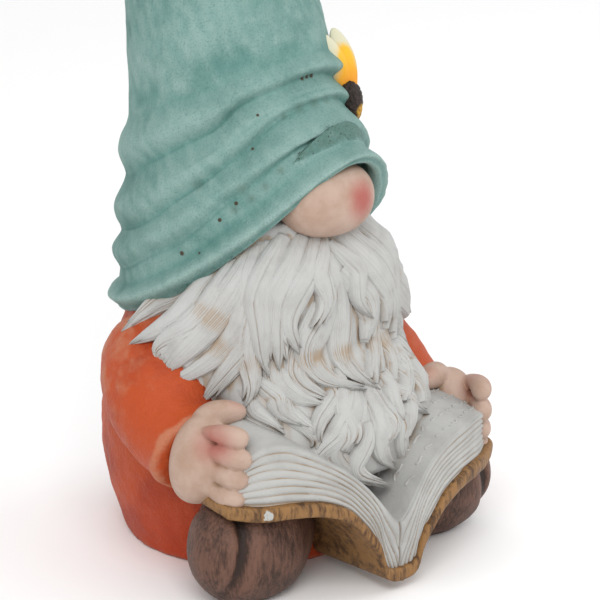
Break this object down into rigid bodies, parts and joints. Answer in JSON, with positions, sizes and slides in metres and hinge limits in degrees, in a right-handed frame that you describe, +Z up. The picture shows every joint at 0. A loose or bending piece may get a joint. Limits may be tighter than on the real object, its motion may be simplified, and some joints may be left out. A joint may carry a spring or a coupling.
{
  "type": "garden gnome statue",
  "caption": "Seated garden gnome in a tall draped hat, its long carved beard flowing over the open book that it holds on its boots.",
  "frame": {"origin": "middle of the flat underside, on the ground below the body", "axes": "+Z up, -Y towards the gnome's front, +X towards the gnome's left hand"},
  "size_m": [0.1696, 0.1669, 0.38],
  "materials": {
    "painted_casting": "hand-painted matt resin casting with a brown antiquing wash in its hollows",
    "hat_paint": "matt blue-green paint, worn pale on the ridges, with a brown wash in the creases",
    "coat_paint": "matt burnt orange paint over salmon, deeper in the hollows",
    "skin_paint": "matt pinkish beige paint, dabbed with a pink blush",
    "beard_paint": "matt off-white paint with a tan wash between the strands",
    "page_paint": "matt greyish white paint, antiqued between the sheets",
    "cover_paint": "gold brown paint brushed over a dark brown",
    "boot_paint": "matt dark brown paint, dry-brushed with a lighter brown",
    "insect_paint": "yellow and cream wings on a dark, grainy body"
  },
  "bodies": {
    "root": {"garden_gnome": "painted_casting"}
  },
  "joints": []
}
